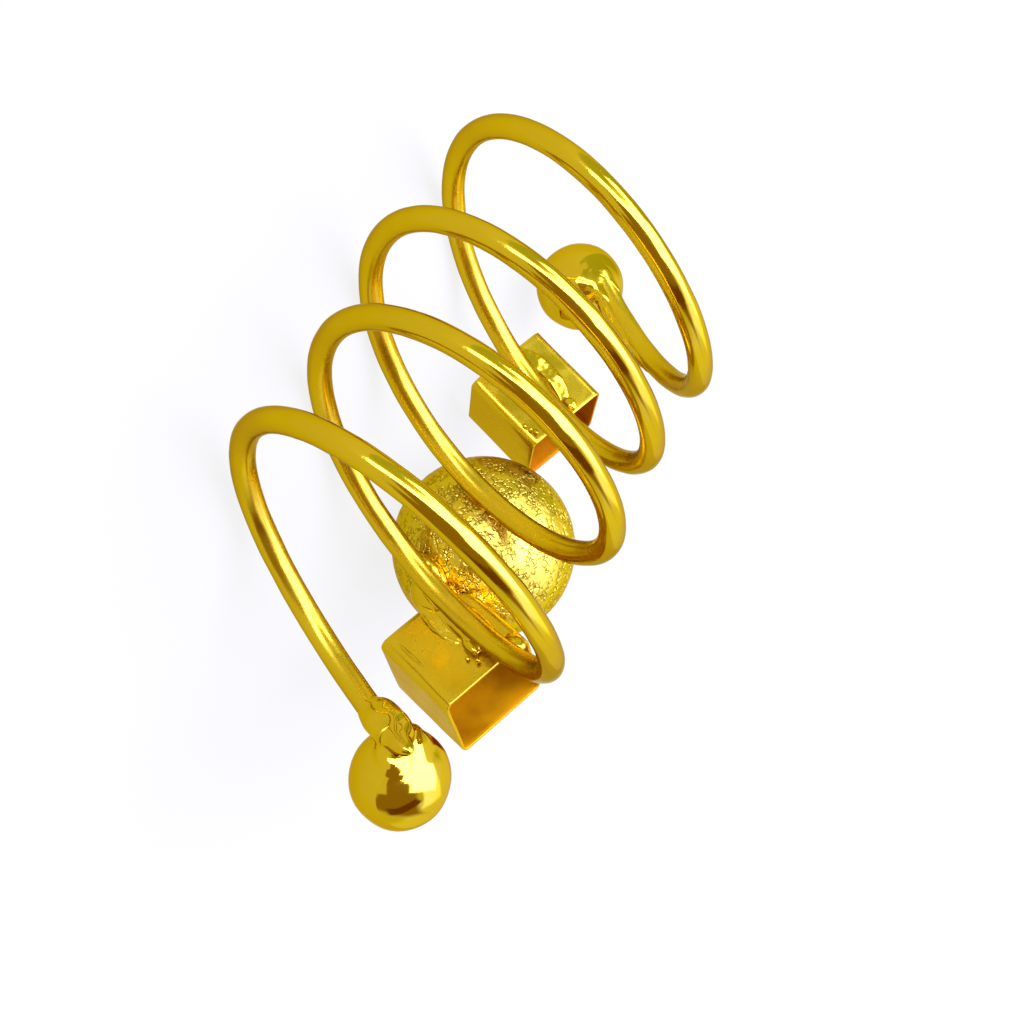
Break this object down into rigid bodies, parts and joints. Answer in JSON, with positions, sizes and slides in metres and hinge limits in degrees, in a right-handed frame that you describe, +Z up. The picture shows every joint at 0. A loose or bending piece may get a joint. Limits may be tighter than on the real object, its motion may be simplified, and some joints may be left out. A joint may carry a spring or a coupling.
{
  "type": "spiral ring",
  "caption": "Gold-coloured finger ring wound as a long wire spiral, with end beads, a frosted ball and open cubes soldered to its outside.",
  "frame": {"origin": "centre of the ring's box, at the height of the table that it lies on", "axes": "+X along the row of turns, as a finger goes in, +Z up from the table, with the ball and cubes towards -Y"},
  "size_m": [0.0386, 0.0294, 0.0195],
  "materials": {
    "gold_plated_brass": "polished, with a frosted ball"
  },
  "bodies": {
    "root": {"spiral_ring": "gold_plated_brass"}
  },
  "joints": []
}
